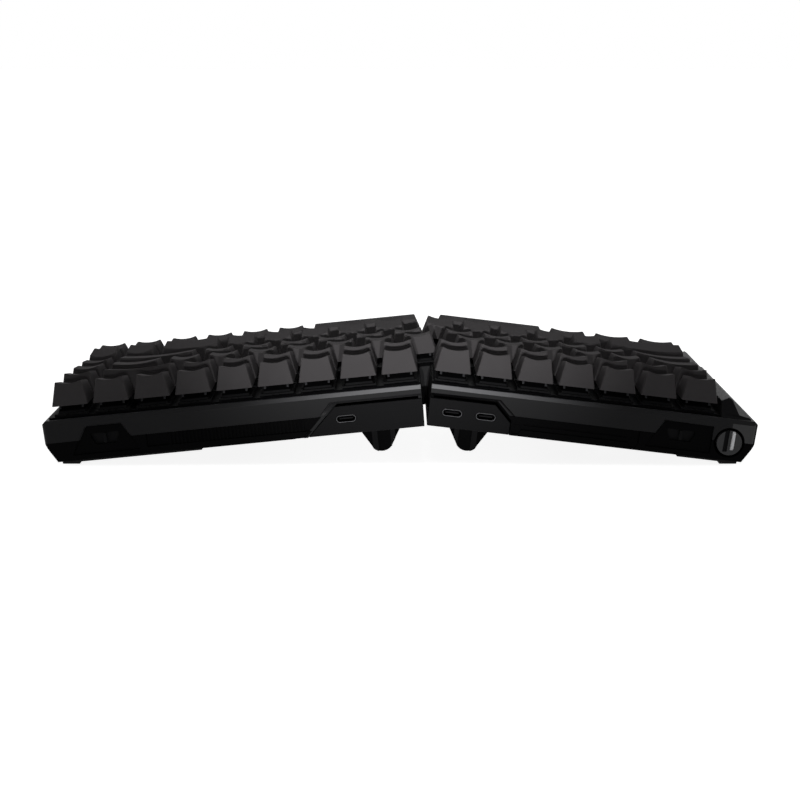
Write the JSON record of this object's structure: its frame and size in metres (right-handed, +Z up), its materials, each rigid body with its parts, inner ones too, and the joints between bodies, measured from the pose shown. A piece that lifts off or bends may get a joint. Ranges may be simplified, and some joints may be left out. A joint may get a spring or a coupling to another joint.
{
  "type": "split keyboard",
  "caption": "Split ergonomic keyboard with two tented halves, floating sprung keycaps, fold-out feet, rear sockets, slide switches, a selector knob and a side rail.",
  "frame": {"origin": "centre of the footprint, on the table under the keyboard", "axes": "+X to the user's right, +Y away from the user towards the sockets, +Z up"},
  "size_m": [0.3286, 0.1237, 0.0542],
  "materials": {
    "shell": "satin",
    "tray": "satin",
    "cap": "satin",
    "switch": "satin",
    "plate": "satin",
    "steel": "satin",
    "knob": "satin",
    "board": "satin",
    "rubber": "matte",
    "foil": "satin"
  },
  "bodies": {
    "left_half": {"left_bottom_case": "tray", "left_top_frame": "shell", "left_switch_plate": "plate", "left_circuit_board": "board", "left_switch_housings": "switch", "left_stabilisers": "switch", "left_port_panel": "shell", "left_port_board": "board", "left_usb_ports": "steel", "left_rear_trim": "tray", "left_switch_insert": "tray", "selector_encoder": "switch", "side_rail": "shell", "battery_pack": "foil", "left_foot_pins": "steel", "left_rubber_pads": "rubber", "left_screws": "steel"},
    "right_half": {"right_bottom_case": "tray", "right_top_frame": "shell", "right_switch_plate": "plate", "right_circuit_board": "board", "right_switch_housings": "switch", "right_stabilisers": "switch", "right_port_panel": "shell", "right_port_board": "board", "right_usb_port": "steel", "right_rear_grille": "tray", "right_switch_insert": "tray", "right_foot_pins": "steel", "right_rubber_pads": "rubber", "right_screws": "steel"},
    "left_function_keys": {"left_function_keys": "cap"},
    "left_number_keys": {"left_number_keys": "cap"},
    "tab_key": {"tab_key": "cap"},
    "left_upper_letter_keys": {"left_upper_letter_keys": "cap"},
    "caps_key": {"caps_key": "cap"},
    "left_home_letter_keys": {"left_home_letter_keys": "cap"},
    "left_shift_key": {"left_shift_key": "cap"},
    "left_lower_letter_keys": {"left_lower_letter_keys": "cap"},
    "left_modifier_keys": {"left_modifier_keys": "cap"},
    "left_space_bar": {"left_space_bar": "cap"},
    "right_function_keys": {"right_function_keys": "cap"},
    "right_number_keys": {"right_number_keys": "cap"},
    "backspace_key": {"backspace_key": "cap"},
    "right_upper_letter_keys": {"right_upper_letter_keys": "cap"},
    "right_home_letter_keys": {"right_home_letter_keys": "cap"},
    "enter_key": {"enter_key": "cap"},
    "right_lower_letter_keys": {"right_lower_letter_keys": "cap"},
    "right_shift_key": {"right_shift_key": "cap"},
    "arrow_keys": {"arrow_keys": "cap"},
    "navigation_keys": {"navigation_keys": "cap"},
    "right_modifier_keys": {"right_modifier_keys": "cap"},
    "right_space_bar": {"right_space_bar": "cap"},
    "left_rear_foot": {"left_rear_foot": "tray"},
    "left_front_foot": {"left_front_foot": "tray"},
    "right_rear_foot": {"right_rear_foot": "tray"},
    "right_front_foot": {"right_front_foot": "tray"},
    "selector_knob": {"selector_knob": "knob"},
    "left_power_slider": {"left_power_slider": "shell"},
    "right_power_slider": {"right_power_slider": "shell"}
  },
  "joints": [
    {"name": "right_half_slide", "type": "slide", "parent": "left_half", "child": "right_half", "axis": [1, 0, 0], "range_m": [0, 0.15]},
    {"name": "left_function_keys_press", "type": "slide", "parent": "left_half", "child": "left_function_keys", "axis": [0.1195, 0, -0.9928], "range_m": [0, 0.0035], "stiffness_N_per_m": 420, "springref_m": -0.005},
    {"name": "left_number_keys_press", "type": "slide", "parent": "left_half", "child": "left_number_keys", "axis": [0.1195, 0, -0.9928], "range_m": [0, 0.0035], "stiffness_N_per_m": 420, "springref_m": -0.005},
    {"name": "tab_key_press", "type": "slide", "parent": "left_half", "child": "tab_key", "axis": [0.1195, 0, -0.9928], "range_m": [0, 0.0035], "stiffness_N_per_m": 60, "springref_m": -0.005},
    {"name": "left_upper_letter_keys_press", "type": "slide", "parent": "left_half", "child": "left_upper_letter_keys", "axis": [0.1195, 0, -0.9928], "range_m": [0, 0.0035], "stiffness_N_per_m": 300, "springref_m": -0.005},
    {"name": "caps_key_press", "type": "slide", "parent": "left_half", "child": "caps_key", "axis": [0.1195, 0, -0.9928], "range_m": [0, 0.0035], "stiffness_N_per_m": 60, "springref_m": -0.005},
    {"name": "left_home_letter_keys_press", "type": "slide", "parent": "left_half", "child": "left_home_letter_keys", "axis": [0.1195, 0, -0.9928], "range_m": [0, 0.0035], "stiffness_N_per_m": 300, "springref_m": -0.005},
    {"name": "left_shift_key_press", "type": "slide", "parent": "left_half", "child": "left_shift_key", "axis": [0.1195, 0, -0.9928], "range_m": [0, 0.0035], "stiffness_N_per_m": 60, "springref_m": -0.005},
    {"name": "left_lower_letter_keys_press", "type": "slide", "parent": "left_half", "child": "left_lower_letter_keys", "axis": [0.1195, 0, -0.9928], "range_m": [0, 0.0035], "stiffness_N_per_m": 300, "springref_m": -0.005},
    {"name": "left_modifier_keys_press", "type": "slide", "parent": "left_half", "child": "left_modifier_keys", "axis": [0.1195, 0, -0.9928], "range_m": [0, 0.0035], "stiffness_N_per_m": 180, "springref_m": -0.005},
    {"name": "left_space_bar_press", "type": "slide", "parent": "left_half", "child": "left_space_bar", "axis": [0.1195, 0, -0.9928], "range_m": [0, 0.0035], "stiffness_N_per_m": 60, "springref_m": -0.005},
    {"name": "right_function_keys_press", "type": "slide", "parent": "right_half", "child": "right_function_keys", "axis": [-0.1004, 0, -0.995], "range_m": [0, 0.0035], "stiffness_N_per_m": 540, "springref_m": -0.005},
    {"name": "right_number_keys_press", "type": "slide", "parent": "right_half", "child": "right_number_keys", "axis": [-0.1004, 0, -0.995], "range_m": [0, 0.0035], "stiffness_N_per_m": 360, "springref_m": -0.005},
    {"name": "backspace_key_press", "type": "slide", "parent": "right_half", "child": "backspace_key", "axis": [-0.1004, 0, -0.995], "range_m": [0, 0.0035], "stiffness_N_per_m": 60, "springref_m": -0.005},
    {"name": "right_upper_letter_keys_press", "type": "slide", "parent": "right_half", "child": "right_upper_letter_keys", "axis": [-0.1004, 0, -0.995], "range_m": [0, 0.0035], "stiffness_N_per_m": 480, "springref_m": -0.005},
    {"name": "right_home_letter_keys_press", "type": "slide", "parent": "right_half", "child": "right_home_letter_keys", "axis": [-0.1004, 0, -0.995], "range_m": [0, 0.0035], "stiffness_N_per_m": 360, "springref_m": -0.005},
    {"name": "enter_key_press", "type": "slide", "parent": "right_half", "child": "enter_key", "axis": [-0.1004, 0, -0.995], "range_m": [0, 0.0035], "stiffness_N_per_m": 60, "springref_m": -0.005},
    {"name": "right_lower_letter_keys_press", "type": "slide", "parent": "right_half", "child": "right_lower_letter_keys", "axis": [-0.1004, 0, -0.995], "range_m": [0, 0.0035], "stiffness_N_per_m": 300, "springref_m": -0.005},
    {"name": "right_shift_key_press", "type": "slide", "parent": "right_half", "child": "right_shift_key", "axis": [-0.1004, 0, -0.995], "range_m": [0, 0.0035], "stiffness_N_per_m": 60, "springref_m": -0.005},
    {"name": "arrow_keys_press", "type": "slide", "parent": "right_half", "child": "arrow_keys", "axis": [-0.1004, 0, -0.995], "range_m": [0, 0.0035], "stiffness_N_per_m": 240, "springref_m": -0.005},
    {"name": "navigation_keys_press", "type": "slide", "parent": "right_half", "child": "navigation_keys", "axis": [-0.1004, 0, -0.995], "range_m": [0, 0.0035], "stiffness_N_per_m": 240, "springref_m": -0.005},
    {"name": "right_modifier_keys_press", "type": "slide", "parent": "right_half", "child": "right_modifier_keys", "axis": [-0.1004, 0, -0.995], "range_m": [0, 0.0035], "stiffness_N_per_m": 180, "springref_m": -0.005},
    {"name": "right_space_bar_press", "type": "slide", "parent": "right_half", "child": "right_space_bar", "axis": [-0.1004, 0, -0.995], "range_m": [0, 0.0035], "stiffness_N_per_m": 60, "springref_m": -0.005},
    {"name": "left_rear_foot_fold", "type": "hinge", "parent": "left_half", "child": "left_rear_foot", "pos_m": [-0.03366, 0.03425, 0.0191], "axis": [-0.9928, 0, -0.1195], "range_deg": [0, 90]},
    {"name": "left_front_foot_fold", "type": "hinge", "parent": "left_half", "child": "left_front_foot", "pos_m": [-0.03366, -0.03585, 0.0191], "axis": [0.9928, 0, 0.1195], "range_deg": [0, 90]},
    {"name": "right_rear_foot_fold", "type": "hinge", "parent": "right_half", "child": "right_rear_foot", "pos_m": [0.01009, 0.03425, 0.01913], "axis": [-0.995, 0, 0.1004], "range_deg": [0, 90]},
    {"name": "right_front_foot_fold", "type": "hinge", "parent": "right_half", "child": "right_front_foot", "pos_m": [0.01009, -0.03585, 0.01913], "axis": [0.995, 0, -0.1004], "range_deg": [0, 90]},
    {"name": "selector_knob_turn", "type": "hinge", "parent": "left_half", "child": "selector_knob", "pos_m": [-0.1511, 0.06025, 0.01071], "axis": [0, 1, 0], "range_deg": [-45, 45]},
    {"name": "left_power_slider_slide", "type": "slide", "parent": "left_half", "child": "left_power_slider", "axis": [0.9928, 0, 0.1195], "range_m": [-0.0025, 0.0025]},
    {"name": "right_power_slider_slide", "type": "slide", "parent": "right_half", "child": "right_power_slider", "axis": [0.995, 0, -0.1004], "range_m": [-0.0025, 0.0025]}
  ]
}
